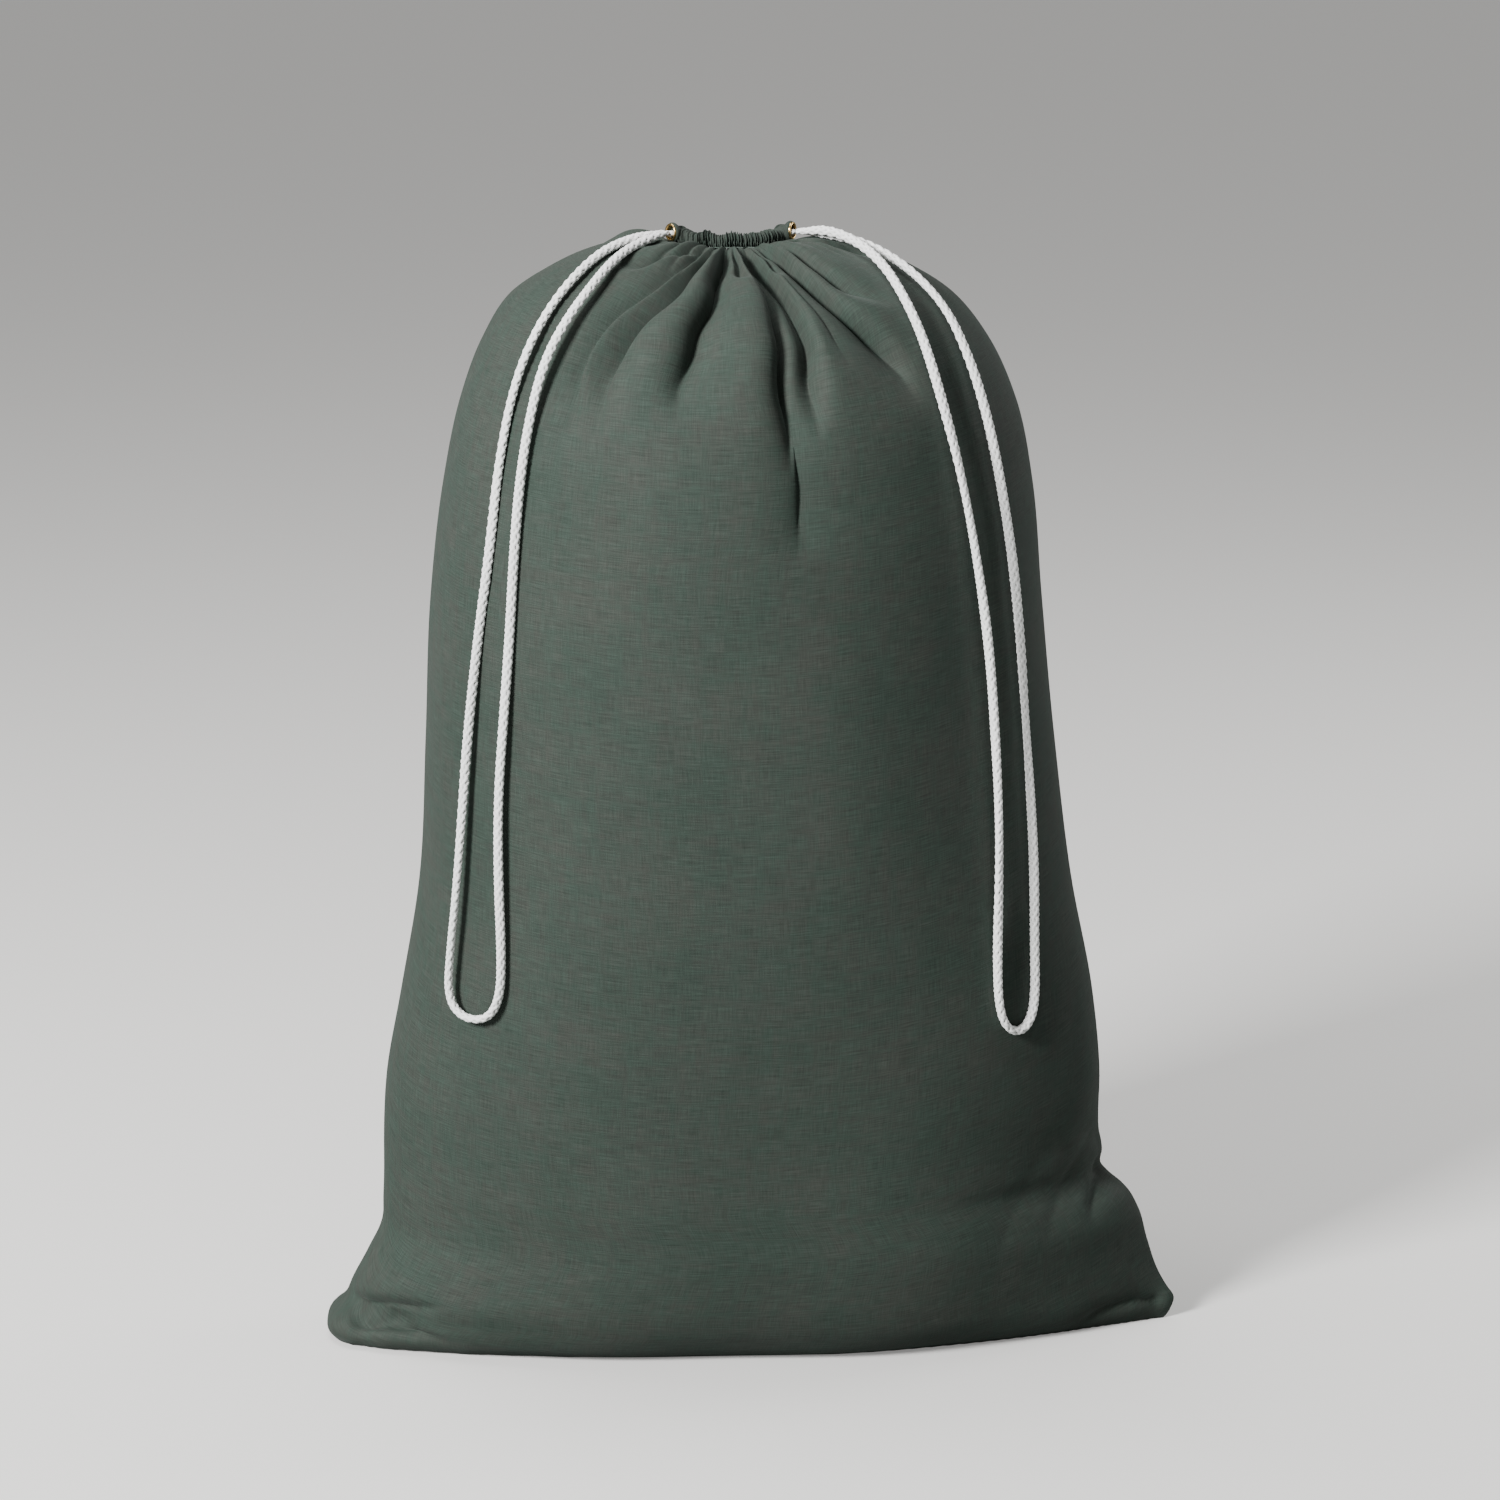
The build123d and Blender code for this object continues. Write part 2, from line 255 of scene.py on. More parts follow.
def braid(name, line, length, tight_start, tight_end, around=32):
    """A round braid of four strands each way, as one closed skin that rises over each strand."""
    pitch = 0.0280
    _, side, up = frames_along(line)
    s = np.linspace(0, length, len(line))[:, None]
    turn = 2 * math.pi * s / pitch
    turn = turn + 0.10 * wavy(s / length * 60, 6, 0.4, 2.2, RNG)
    angle = np.linspace(0, 2 * math.pi, around, endpoint=False)[None, :]
    over = np.cos(4 * turn)
    height = np.zeros((len(line), around))
    for way in (1, -1):
        phase = (angle - way * turn) % (math.pi / 2)
        x = np.abs(phase - math.pi / 4) / (math.pi / 4)
        strand = np.sqrt(np.clip(1 - (x / 0.80) ** 2, 0, 1)) * (0.5 + 0.5 * way * over) ** 0.45
        height = np.maximum(height, 0.64 + 0.40 * strand)
    flat = 1 + 0.11 * np.cos(2 * (angle - 1.3 * wavy(s / length * 10, 4, 0.4, 2.0, RNG)))
    full = CORD / 2 * flat * (1 + 0.02 * wavy(s / length * 40, 5, 0.5, 3.0, RNG))
    tight = CORD_TIGHT / 2
    grow = 0.022
    radius = full
    if tight_start:
        radius = tight + (radius - tight) * smoothstep(0, grow, s)
    if tight_end:
        radius = tight + (radius - tight) * smoothstep(0, grow, length - s)
    cap = np.sqrt(np.clip(1 - (1 - np.clip(np.minimum(s, length - s) / tight, 0, 1)) ** 2, 0, 1))
    radius = radius * np.maximum(cap, 0.05)
    ring = radius * height
    points = (
        line[:, None, :]
        + side[:, None, :] * (ring * np.cos(angle))[..., None]
        + up[:, None, :] * (ring * np.sin(angle))[..., None]
    ).reshape(-1, 3)
    faces = [tuple(f) for f in grid_faces(len(line), around, wrap=True)]
    points = np.concatenate([points, line[:1], line[-1:]])
    first, last = len(points) - 2, len(points) - 1
    base = (len(line) - 1) * around
    for i in range(around):
        j = (i + 1) % around
        faces.append((j, i, first))
        faces.append((base + i, base + j, last))
    piece = mesh_object(name, points, faces)
    # the third value is the skin's height, which the cord material uses to paint shade into the grooves
    coords = np.stack(np.broadcast_arrays(s * 1000, angle, height), axis=-1).reshape(-1, 3)
    put_attribute(piece, "cord_place", np.concatenate([coords, coords[:1], coords[-1:]]))
    return piece


def make_loop(side, route):
    start = strand_point(side, PIVOT_OUT, False)
    end = strand_point(side, PIVOT_OUT, True)
    first = strand_point(side, PIVOT_OUT + 0.0035, False)
    last = strand_point(side, PIVOT_OUT + 0.0035, True)
    line, measured = spline_points([start, first, *route, last, end])
    piece = braid(f"{side}_cord_loop", line, measured, True, True)
    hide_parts(f"{side}_loop_upper", f"{side}_loop_lower")
    return piece, line


def make_run(name, points, front):
    start = strand_point("left", PIVOT_OUT, front)
    end = strand_point("right", PIVOT_OUT, front)
    line, length = spline_points([start, *points, end])
    piece = braid(name, line, length, True, True, around=20)
    scale_to_tight(piece, line)
    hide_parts(name)
    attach(piece, "bag")
    return piece


def scale_to_tight(piece, line):
    """Draws a braid in to the squeezed diameter over its whole length."""
    count = len(line)
    co = np.array([v.co for v in piece.data.vertices])
    body = co[:-2].reshape(count, -1, 3)
    away = body - line[:, None, :]
    reach = np.linalg.norm(away, axis=2, keepdims=True)
    body = line[:, None, :] + away * np.minimum(1, CORD_TIGHT / 2 / np.maximum(reach, 1e-9))
    co[:-2] = body.reshape(-1, 3)
    piece.data.vertices.foreach_set("co", co.ravel())


make_camera()
left_loop, left_line = make_loop("left", LEFT_ROUTE)
right_loop, right_line = make_loop("right", RIGHT_ROUTE)
front_run = make_run("front_cord_run", FRONT_RUN, True)
back_run = make_run("back_cord_run", BACK_RUN, False)


# --- the sack's shape -------------------------------------------------------------------------
# Height, left edge, right edge, half depth, and how pointed the left and the right side are:
# at 1 a side is round, above it is pinched to a crease, and below it is full, as a box end.
SECTIONS = [
    (0.0000, -0.2960, 0.2950, 0.0660, 0.62, 2.20),
    (0.0080, -0.3010, 0.3000, 0.0800, 0.66, 2.00),
    (0.0165, -0.2985, 0.3018, 0.0880, 0.72, 1.90),
    (0.0246, -0.2885, 0.2965, 0.0940, 0.78, 1.80),
    (0.0345, -0.2845, 0.2909, 0.0990, 0.80, 1.70),
    (0.0600, -0.2715, 0.2818, 0.1070, 0.95, 1.50),
    (0.0830, -0.2610, 0.2752, 0.1120, 1.05, 1.36),
    (0.1000, -0.2600, 0.2650, 0.1140, 1.05, 1.28),
    (0.1100, -0.2595, 0.2535, 0.1155, 1.05, 1.22),
    (0.1170, -0.2592, 0.2476, 0.1165, 1.04, 1.18),
    (0.1270, -0.2590, 0.2484, 0.1175, 1.03, 1.14),
    (0.1430, -0.2588, 0.2458, 0.1195, 1.02, 1.10),
    (0.1900, -0.2560, 0.2450, 0.1270, 1.00, 1.04),
    (0.2500, -0.2450, 0.2380, 0.1380, 1.00, 1.00),
    (0.3300, -0.2310, 0.2220, 0.1510, 1.00, 1.00),
    (0.4300, -0.2250, 0.2090, 0.1610, 1.00, 1.00),
    (0.5300, -0.2200, 0.1990, 0.1650, 1.00, 1.00),
    (0.6100, -0.2100, 0.1910, 0.1630, 1.00, 1.00),
    (0.6650, -0.1980, 0.1790, 0.1540, 1.00, 1.00),
    (0.7050, -0.1830, 0.1610, 0.1390, 1.00, 1.00),
    (0.7350, -0.1640, 0.1370, 0.1170, 1.00, 1.00),
    (0.7540, -0.1370, 0.1080, 0.0910, 1.00, 1.00),
    (0.7660, -0.1110, 0.0810, 0.0670, 1.00, 1.00),
    (0.7722, -0.0870, 0.0580, 0.0480, 1.00, 1.00),
    (0.7728, -0.0710, 0.0410, 0.0345, 1.00, 1.00),
    (0.7705, -0.0610, 0.0310, 0.0275, 1.00, 1.00),
    (0.7670, -0.0550, 0.0250, 0.0230, 1.00, 1.00),
]


def section_rows(q):
    """Smooth values between the rows of SECTIONS, at fractional row numbers q."""
    table = np.array(SECTIONS)
    half = (table[:, 2] - table[:, 1]) / 2
    size = np.hypot(np.diff(table[:, 0]), np.diff((half + table[:, 3]) / 2))
    key = np.concatenate([[0], np.cumsum(size)])
    slope = np.gradient(table, key, axis=0)
    i = np.clip(np.floor(q).astype(int), 0, len(table) - 2)
    u = (q - i)[:, None]
    step = (key[i + 1] - key[i])[:, None]
    return (
        (2 * u**3 - 3 * u**2 + 1) * table[i]
        + (u**3 - 2 * u**2 + u) * slope[i] * step
        + (3 * u**2 - 2 * u**3) * table[i + 1]
        + (u**3 - u**2) * slope[i + 1] * step
    )


def half_section(row, share):
    """Points of the front half of one level section, at shares of its arc from left to right."""
    z, left, right, depth, crease_left, crease_right = row
    t = np.linspace(math.pi, 0, 241)
    x = (left + right) / 2 + (right - left) / 2 * np.cos(t)
    crease = crease_left + (crease_right - crease_left) * smoothstep(-0.4, 0.5, np.cos(t))
    y = -depth * np.sin(t) ** crease
    arc = np.concatenate([[0], np.cumsum(np.hypot(np.diff(x), np.diff(y)))])
    arc /= arc[-1]
    return np.stack([np.interp(share, arc, x), np.interp(share, arc, y), np.full(len(share), z)], axis=1)


def panel_grid(share, rows_at):
    """The smooth front panel: points[row, column], row 0 at the gathers, the last on the bottom seam,
    rows at given shares of the way along the cloth, columns at shares of the way from left to right."""
    columns = len(share)
    q = np.linspace(len(SECTIONS) - 1, 0, 700)
    dense = np.array([half_section(row, share) for row in section_rows(q)])
    seam = np.stack([-0.292 + 0.584 * share, 0 * share, 0 * share], axis=1)
    under = dense[-1] + (seam - dense[-1]) * np.linspace(0, 1, 60)[1:, None, None]
    dense = np.concatenate([dense, under])
    step = np.linalg.norm(np.diff(dense, axis=0), axis=2)
    along = np.concatenate([np.zeros((1, columns)), np.cumsum(step, axis=0)])
    points = np.empty((len(rows_at), columns, 3))
    for c in range(columns):
        at = rows_at * along[-1, c]
        for i in range(3):
            points[:, c, i] = np.interp(at, along[:, c], dense[:, c, i])
    return points


def grid_normals(points, outward):
    normal = np.cross(np.gradient(points, axis=0), np.gradient(points, axis=1))
    normal /= np.linalg.norm(normal, axis=2, keepdims=True) + 1e-12
    return normal * outward


# --- folds ------------------------------------------------------------------------------------
# Each fold: its course as (share across the panel, distance from the gathers), how deep it is,
# and how far its two walls reach to the left and to the right. A short reach is a steep wall.
FRONT_FOLDS = [
    ([(0.440, 0.000), (0.413, 0.037), (0.379, 0.084), (0.344, 0.109), (0.322, 0.135), (0.316, 0.165), (0.322, 0.195)], 0.0220, 0.0160, 0.0045),
    ([(0.390, 0.000), (0.352, 0.052), (0.296, 0.102), (0.266, 0.136), (0.276, 0.180), (0.280, 0.215)], 0.0105, 0.0110, 0.0090),
    ([(0.470, 0.000), (0.456, 0.060), (0.440, 0.084), (0.420, 0.108), (0.414, 0.140), (0.416, 0.180)], 0.0200, 0.0040, 0.0130),
    ([(0.486, 0.045), (0.475, 0.087), (0.461, 0.120), (0.456, 0.155)], 0.0055, 0.0060, 0.0080),
    ([(0.552, 0.000), (0.547, 0.057), (0.543, 0.085), (0.541, 0.110), (0.541, 0.140), (0.539, 0.175), (0.541, 0.225)], 0.0200, 0.0046, 0.0120),
    ([(0.566, 0.000), (0.577, 0.050), (0.580, 0.095), (0.586, 0.130), (0.591, 0.165), (0.584, 0.200)], 0.0220, 0.0120, 0.0038),
    ([(0.560, 0.130), (0.556, 0.180), (0.557, 0.215), (0.563, 0.270)], 0.0075, 0.0105, 0.0160),
    ([(0.640, 0.000), (0.662, 0.050), (0.680, 0.092), (0.704, 0.121), (0.725, 0.144), (0.727, 0.185)], 0.0180, 0.0130, 0.0038),
    ([(0.605, 0.020), (0.622, 0.080), (0.640, 0.120), (0.652, 0.160)], 0.0060, 0.0120, 0.0120),
    ([(0.690, 0.000), (0.709, 0.047), (0.733, 0.089), (0.768, 0.112)], 0.0110, 0.0070, 0.0036),
    ([(0.740, 0.000), (0.830, 0.026), (0.894, 0.040), (0.917, 0.070)], 0.0075, 0.0070, 0.0040),
    ([(0.420, 0.000), (0.338, 0.028), (0.283, 0.046), (0.245, 0.072)], 0.0085, 0.0080, 0.0040),
    ([(0.330, 0.000), (0.260, 0.018), (0.168, 0.030), (0.140, 0.050)], 0.0060, 0.0080, 0.0040),
    ([(0.240, 0.000), (0.160, 0.010), (0.100, 0.030)], 0.0045, 0.0070, 0.0045),
    ([(0.508, 0.000), (0.509, 0.036), (0.511, 0.066)], 0.0160, 0.0050, 0.0030),
    ([(0.532, 0.000), (0.531, 0.030), (0.530, 0.050)], 0.0080, 0.0035, 0.0050),
    ([(0.484, 0.000), (0.478, 0.036), (0.474, 0.060)], 0.0110, 0.0040, 0.0050),
    ([(0.600, 0.000), (0.606, 0.035), (0.612, 0.065)], 0.0130, 0.0040, 0.0070),
]
BACK_FOLDS = [
    ([(0.080, 0.000), (0.085, 0.050), (0.070, 0.120)], 0.0090, 0.0090, 0.0060),
    ([(0.170, 0.000), (0.160, 0.050), (0.130, 0.100), (0.125, 0.160)], 0.0150, 0.0050, 0.0130),
    ([(0.270, 0.000), (0.265, 0.040), (0.240, 0.090), (0.235, 0.190)], 0.0195, 0.0140, 0.0050),
    ([(0.340, 0.000), (0.335, 0.030), (0.320, 0.060)], 0.0090, 0.0060, 0.0060),
    ([(0.390, 0.000), (0.380, 0.050), (0.370, 0.110), (0.378, 0.150)], 0.0135, 0.0060, 0.0110),
    ([(0.470, 0.000), (0.478, 0.060), (0.450, 0.120), (0.455, 0.230)], 0.0240, 0.0120, 0.0060),
    ([(0.540, 0.000), (0.545, 0.040), (0.560, 0.090)], 0.0120, 0.0060, 0.0060),
    ([(0.620, 0.000), (0.630, 0.060), (0.660, 0.110), (0.665, 0.200)], 0.0200, 0.0060, 0.0150),
    ([(0.700, 0.000), (0.720, 0.050), (0.755, 0.090), (0.765, 0.150)], 0.0150, 0.0110, 0.0050),
    ([(0.790, 0.000), (0.815, 0.040), (0.850, 0.100)], 0.0120, 0.0060, 0.0090),
    ([(0.900, 0.000), (0.905, 0.050), (0.920, 0.120)], 0.0090, 0.0080, 0.0060),
]
SHARP = 0.0011  # how round the bottom of a fold is
LEAN = 1.5  # how far a lobe leans over its fold, in reaches of the steep wall
# Creases low on the front: the course as (x, z), the depth, and the reach on each side of it,
# first to the left and then to the right of someone who follows the course.
LOW_CREASES = [
    ([(-0.289, 0.029), (-0.262, 0.036), (-0.238, 0.036), (-0.214, 0.040)], 0.0100, 0.0035, 0.0075),
    ([(-0.276, 0.031), (-0.248, 0.027), (-0.226, 0.022)], 0.0040, 0.0030, 0.0060),
    ([(-0.288, 0.018), (-0.258, 0.024), (-0.236, 0.017), (-0.196, 0.005)], 0.0090, 0.0035, 0.0075),
    ([(0.252, 0.121), (0.244, 0.114), (0.239, 0.100), (0.240, 0.082)], 0.0050, 0.0080, 0.0035),
    ([(0.244, 0.152), (0.232, 0.137), (0.219, 0.118), (0.207, 0.094), (0.202, 0.066)], 0.0042, 0.0190, 0.0140),
    ([(0.212, 0.160), (0.190, 0.126), (0.172, 0.092), (0.160, 0.060)], 0.0022, 0.0220, 0.0180),
    ([(0.298, 0.013), (0.274, 0.018), (0.246, 0.014), (0.220, 0.004)], 0.0060, 0.0040, 0.0080),
]


def fold_moves(share, rows, arc, folds):
    """How far the cloth stands in, and how far it leans sideways, at each point of a panel's grid.
    A fold is a valley between two full lobes, sharp at the bottom. The lobe on its steeper side
    leans over it, and it fades out along its course."""
    together = np.zeros((len(rows), len(share)))
    lean = np.zeros((len(rows), len(share)))
    for course, deep, left, right in folds:
        at = np.array([c[1] for c in course])
        line = np.interp(rows, at, np.array([c[0] for c in course]))
        kernel = np.ones(17) / 17
        line = np.convolve(np.pad(line, 8, mode="edge"), kernel, mode="valid")
        start, stop = at[0], at[-1]
        span = stop - start
        fade = 1 - smoothstep(start + 0.65 * span, stop, rows)
        if start > 0:
            fade = fade * smoothstep(start, start + 0.4 * span, rows)
        else:
            fade = fade * (0.05 + 0.95 * smoothstep(0, min(0.028, 0.4 * span), rows))
        x = (share[None, :] - line[:, None]) * arc[:, None]
        narrow = (0.35 + 0.65 * smoothstep(0.01, 0.09, rows))[:, None]
        spread = narrow * (1 + 0.8 * smoothstep(0.5 * span, span, rows - start))[:, None]
        reach = np.where(x > 0, right, left) * spread
        sharp = SHARP * (1 + 3 * smoothstep(0.5 * span, span, rows - start))[:, None]
        valley = deep * fade[:, None] * np.exp(-(np.sqrt(x**2 + sharp**2) - sharp) / reach)
        together += valley**3
        toward = 1 if right < left else -1
        steep = min(left, right) * spread
        away = np.clip(x * toward, 0, None) / steep
        most = LEAN * min(left, right) * narrow * fade[:, None]
        lean -= toward * most * (1 - np.exp(-away)) * np.exp(-away / 3)
    return -np.cbrt(together), lean


def crease_depth(points, creases):
    """How far the cloth stands in at the creases low on the panel, which fade towards their ends."""
    total = np.zeros(points.shape[:2])
    for course, deep, left, right in creases:
        best = np.full(points.shape[:2], 1.0)
        value = np.zeros(points.shape[:2])
        spans = list(zip(course[:-1], course[1:]))
        for i, (a, b) in enumerate(spans):
            run = np.array(b) - np.array(a)
            from_a = points[..., [0, 2]] - np.array(a)
            t = np.clip((from_a @ run) / run.dot(run), 0, 1)
            off = from_a - t[..., None] * run
            gap = np.linalg.norm(off, axis=-1)
            side = run[0] * off[..., 1] - run[1] * off[..., 0]
            reach = np.where(side > 0, left, right)
            done = (i + t) / len(spans)
            fade = smoothstep(0, 0.12, done) * (1 - smoothstep(0.55, 1.0, done))
            closer = gap < best
            value = np.where(closer, fade * np.exp(-(np.sqrt(gap**2 + SHARP**2) - SHARP) / reach), value)
            best = np.where(closer, gap, best)
        total -= deep * value
    return total


def pleat_depth(share, rows, seed):
    """The small pleats right under the casing, dying out within a few centimetres."""
    rng = np.random.default_rng(seed)
    phase = 2 * math.pi * 21 * (share + 0.012 * wavy(share * 20, 4, 0.6, 2.5, rng))
    strength = 0.6 + 0.4 * wavy(share * 30, 4, 0.5, 2.0, rng)
    wave = np.abs(np.sin(phase / 2)) ** 0.7 * 2 - 1.2
    fade = 1 - smoothstep(0.024, 0.062, rows)
    return 0.0022 * fade[:, None] * (strength * wave)[None, :]


def undulation(share, rows, seed):
    """Slow unevenness of cloth over soft laundry."""
    rng = np.random.default_rng(seed)
    f, s = share[None, :] * FLAT_WIDTH, rows[:, None]
    total = np.zeros((len(rows), len(share)))
    for _ in range(22):
        kx, ky = rng.normal(0, 20), rng.normal(0, 9)
        total += np.sin(kx * f + ky * s + rng.uniform(0, 2 * math.pi)) / (1 + 0.03 * math.hypot(kx, ky))
    edge = smoothstep(0, 0.08, share * (1 - share))[None, :] * smoothstep(0.05, 0.25, s)
    return 0.0008 * total * edge


# --- cloth ------------------------------------------------------------------------------------
NEAR, LOW = 0.24, 0.80  # shares of the way down where the fine rows end and begin again
TOP_ROWS, MIDDLE_ROWS, LOW_ROWS = 120, 60, 70
ROWS_AT = np.concatenate(
    [
        np.linspace(0, NEAR, TOP_ROWS),
        np.linspace(NEAR, LOW, MIDDLE_ROWS + 1)[1:],
        np.linspace(LOW, 1, LOW_ROWS + 1)[1:],
    ]
)
ROWS = ROWS_AT * (FLAT_HEIGHT - CASING_CUT)  # distance from the gathers along the cloth


def uneven_shares(columns, low, high, extra):
    """Shares across a panel, closer together between low and high, where the folds are."""
    f = np.linspace(0, 1, 800)
    dense = 1 + extra * (smoothstep(low - 0.08, low, f) - smoothstep(high, high + 0.08, f))
    total = np.concatenate([[0], np.cumsum((dense[1:] + dense[:-1]) / 2)])
    return np.interp(np.linspace(0, 1, columns), total / total[-1], f)


def lean_back(points):
    """The back of the mouth lies lower than its front, close behind it, so that the mouth is shut."""
    low = smoothstep(0.748, 0.7735, points[..., 2])
    hump = np.exp(-(((points[..., 0] + 0.080) / 0.030) ** 2) - ((points[..., 1] - 0.024) / 0.018) ** 2)
    points[..., 1] -= 0.0125 * low
    points[..., 2] -= 0.0060 * low
    points[..., 2] += 0.0120 * hump
    return points


def make_panel(share, folds, seed, back):
    points = panel_grid(share, ROWS_AT)
    if back:
        points = lean_back(points * np.array([1, -1, 1]))
    normal = grid_normals(points, -1 if back else 1)
    arc = np.linalg.norm(np.diff(points, axis=1), axis=2).sum(axis=1)
    seam = smoothstep(0, 0.03, np.minimum(share, 1 - share) * FLAT_WIDTH)[None, :]
    low = 1 - smoothstep(0.80, 0.84, ROWS)[:, None]
    depth, lean = fold_moves(share, ROWS, arc, folds)
    move = depth * seam
    move += pleat_depth(share, ROWS, seed) * seam
    move += undulation(share, ROWS, seed + 10) * low
    if not back:
        move += crease_depth(points, LOW_CREASES) * smoothstep(0, 0.012, np.minimum(share, 1 - share) * FLAT_WIDTH)
    along = np.gradient(points, axis=1)
    along /= np.linalg.norm(along, axis=2, keepdims=True)
    return points + normal * move[..., None] + along * (lean * seam)[..., None]


def press_from_cords(points, normal, lines, clear=0.0031):
    """Moves cloth in where a cord lies on it, so that neither passes through the other."""
    route = np.concatenate(lines)[::3]
    tree = KDTree(len(route))
    for i, p in enumerate(route):
        tree.insert(p, i)
    tree.balance()
    flat, push = points.reshape(-1, 3), normal.reshape(-1, 3)
    out = flat.copy()
    for i, p in enumerate(flat):
        where, _, gap = tree.find(p)
        if gap > 0.02:
            continue
        away = np.array(p) - np.array(where)
        height = away.dot(push[i])  # how far the cloth stands out past the cord's middle
        across = math.sqrt(max(gap * gap - height * height, 0))
        if across < 0.012:
            limit = -clear if across < clear else -clear + (across - clear) * 0.9
            if height > limit:
                out[i] = p - push[i] * (height - limit)
    return out.reshape(points.shape)


FRONT_SHARE = uneven_shares(290, 0.26, 0.76, 0.9)
BACK_SHARE = uneven_shares(170, 0.20, 0.80, 0.6)
front_points = make_panel(FRONT_SHARE, FRONT_FOLDS, 3, False)
back_points = make_panel(BACK_SHARE, BACK_FOLDS, 5, True)
back_points[:, 0] = front_points[:, 0]
back_points[:, -1] = front_points[:, -1]
front_points = press_from_cords(front_points, grid_normals(front_points, 1), [left_line, right_line])
for points in (front_points, back_points):
    points[..., 2] = np.maximum(points[..., 2], 0.0)


def panel_piece(name, points, share, flip):
    piece = mesh_object(name, points.reshape(-1, 3), grid_faces(*points.shape[:2], flip=flip))
    place = np.stack(
        [*np.broadcast_arrays(share[None, :] * FLAT_WIDTH, ROWS[:, None], np.zeros((1, 1)))], axis=-1
    )
    put_attribute(piece, "cloth_place", place)
    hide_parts(name)
    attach(piece, "bag")
    return piece


front_panel = panel_piece("front_panel", front_points, FRONT_SHARE, True)
back_panel = panel_piece("back_panel", back_points, BACK_SHARE, False)


def seam_piece(name, line, inward):
    """The turned-in edge inside the sack along a seam: a folded strip with an overcast wave."""
    step = np.linspace(0, 1, 5)[:, None, None]
    wave = 0.0006 * np.sin(np.arange(len(line)) * 2.1)[None, :, None] * step
    points = line[None] + inward * (step * SEAM_ALLOWANCE) + wave * np.array([0, 1.0, 0])
    piece = mesh_object(name, points.reshape(-1, 3), grid_faces(5, len(line)))
    put_attribute(piece, "cloth_place", points)
    solid = piece.modifiers.new("two layers", "SOLIDIFY")
    solid.thickness = 0.0009
    solid.offset = 0
    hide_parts(name)
    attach(piece, "bag")
    return piece


SEAM_ALLOWANCE = 0.010
below_gathers = ROWS > 0.05
above_floor = ROWS < 0.76
tall = below_gathers & above_floor
left_seam = seam_piece("left_side_seam", front_points[tall, 0], np.array([1.0, 0, 0]))
right_seam = seam_piece("right_side_seam", front_points[tall, -1], np.array([-1.0, 0, 0]))
bottom_seam = seam_piece("bottom_seam", front_points[-1, 10:-10], np.array([0, 0, 1.0]))


# --- the casing -------------------------------------------------------------------------------
CASING_HALF = (0.0050, 0.0048)  # half thickness and half height
TAB_HALF = (0.0056, 0.0052)  # the same beside an eyelet
MOUTH_HALF = 0.0330  # half the width of the casing's middle line
TAB_BACK = 0.0065  # how far behind an eyelet's face its swelling is centred
TAB_DROP = 0.0012  # and how far below


def mouth_line(t):
    """The middle line of the gathered casing: nearly level in front, and low at the back."""
    front = np.sin(t) < 0
    x = MOUTH_X + MOUTH_HALF * np.cos(t)
    y = -0.0045 + np.where(front, 0.0155, 0.0110) * np.sin(t)
    low = np.where(front, 0.0015, 0.0125) * np.abs(np.sin(t)) ** 0.7
    return np.stack([x, y, 0.7742 - low], axis=-1)


def casing_points(turn, sweep):
    """The crinkled tube of gathered cloth round the mouth, at angles round the mouth and round the
    tube. It swells smoothly beside the eyelets."""
    rng = np.random.default_rng(21)
    t, p = turn[:, None], sweep[None, :]
    middle = mouth_line(turn)
    along = np.gradient(middle, axis=0)
    out = np.stack([along[:, 1], -along[:, 0], 0 * turn], axis=-1)
    out /= np.linalg.norm(out, axis=-1, keepdims=True)
    swell = np.zeros_like(turn)
    for (face, angle), beside, wide in zip(EYELETS.values(), (math.radians(188), math.radians(356)), (0.42, 0.38)):
        target = np.array(face) - TAB_BACK * np.array([math.cos(angle), math.sin(angle), 0])
        gap = (turn - beside + math.pi) % (2 * math.pi) - math.pi
        near = np.exp(-((gap / wide) ** 2))
        middle = middle + near[:, None] * (target - (0, 0, TAB_DROP) - middle)
        swell = np.maximum(swell, near)
    wander = 0.45 * wavy(p * 2, 3, 0.5, 1.5, rng) + 0.35 * wavy(t * 6, 5, 0.5, 3.0, rng)
    ridge = np.abs(np.sin((82 * t + 4.0 * wander) / 2)) ** 0.6
    strength = 0.80 + 0.30 * wavy(t * 11, 5, 0.4, 2.4, rng)
    fine = 0.35 * np.sin(137 * t + 1.9 * np.sin(p) + 2.8 * wander)
    bump = 0.0023 * strength * (ridge + fine - 0.75) * (1 - 0.72 * swell[:, None])
    half = np.array(CASING_HALF) + swell[:, None] * (np.array(TAB_HALF) - np.array(CASING_HALF))
    cx = np.sign(np.cos(p)) * np.abs(np.cos(p)) ** 0.75
    sx = np.sign(np.sin(p)) * np.abs(np.sin(p)) ** 0.75
    lump = 0.0010 * wavy(t * 8, 4, 0.5, 2.0, rng) * (1 - swell[:, None])
    points = middle[:, None, :] + out[:, None, :] * ((half[:, :1] + bump) * cx)[..., None]
    points[..., 2] += (half[:, 1:] + 0.8 * bump) * sx + lump
    return points


def casing_piece(name, low, high):
    turn = np.linspace(low, high, 520)
    sweep = np.linspace(0, 2 * math.pi, 36, endpoint=False)
    points = casing_points(turn, sweep)
    piece = mesh_object(name, points.reshape(-1, 3), grid_faces(len(turn), len(sweep), wrap=True, flip=True))
    place = np.stack(
        [*np.broadcast_arrays(turn[:, None] * 0.19, sweep[None, :] * 0.0075, np.zeros((1, 1)))], axis=-1
    )
    put_attribute(piece, "cloth_place", place)
    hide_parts(name)
    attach(piece, "bag")
    return piece


front_casing = casing_piece("front_casing", math.pi, 2 * math.pi)
back_casing = casing_piece("back_casing", 0, math.pi)


